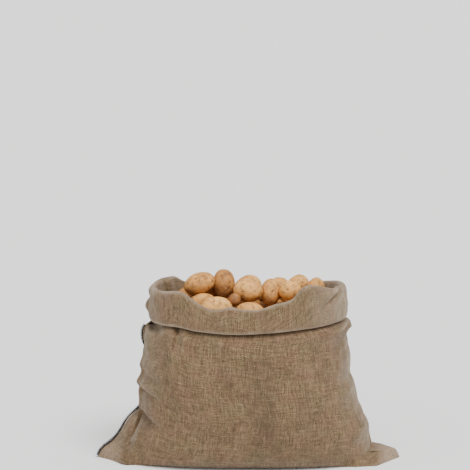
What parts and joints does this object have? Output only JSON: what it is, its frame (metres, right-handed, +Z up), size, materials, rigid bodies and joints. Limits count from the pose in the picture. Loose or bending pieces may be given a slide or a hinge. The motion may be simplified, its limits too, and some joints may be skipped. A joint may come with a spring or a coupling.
{
  "type": "hessian sack filled with potatoes",
  "caption": "Standing hessian sack heaped with potatoes, its mouth turned down outwards as a wide cuff, its bottom corners pinched into flat ears and a seam down one side.",
  "frame": {"origin": "under the middle of the sack's base, on the surface that it stands on", "axes": "+X along the sack's breadth, away from the seamed side; -Y towards its front; +Z up"},
  "size_m": [0.6988, 0.3487, 0.4449],
  "materials": {
    "hessian": "rough plain weave",
    "potato_skin_1": "smooth matt skin",
    "potato_skin_2": "dusty matt skin",
    "potato_skin_3": "smooth matt skin"
  },
  "bodies": {
    "root": {"sack_cloth": "hessian", "load": "potato_skin_1", "potato_01": "potato_skin_2", "potato_02": "potato_skin_3", "potato_03": "potato_skin_1", "potato_04": "potato_skin_2", "potato_05": "potato_skin_3", "potato_06": "potato_skin_1", "potato_07": "potato_skin_2", "potato_08": "potato_skin_3", "potato_09": "potato_skin_1", "potato_10": "potato_skin_2", "potato_11": "potato_skin_3", "potato_12": "potato_skin_1", "potato_13": "potato_skin_2", "potato_14": "potato_skin_3", "potato_15": "potato_skin_1", "potato_16": "potato_skin_2", "potato_17": "potato_skin_3", "potato_18": "potato_skin_1", "potato_19": "potato_skin_2", "potato_20": "potato_skin_3", "potato_21": "potato_skin_1", "potato_22": "potato_skin_2", "potato_23": "potato_skin_3", "potato_24": "potato_skin_1"}
  },
  "joints": []
}
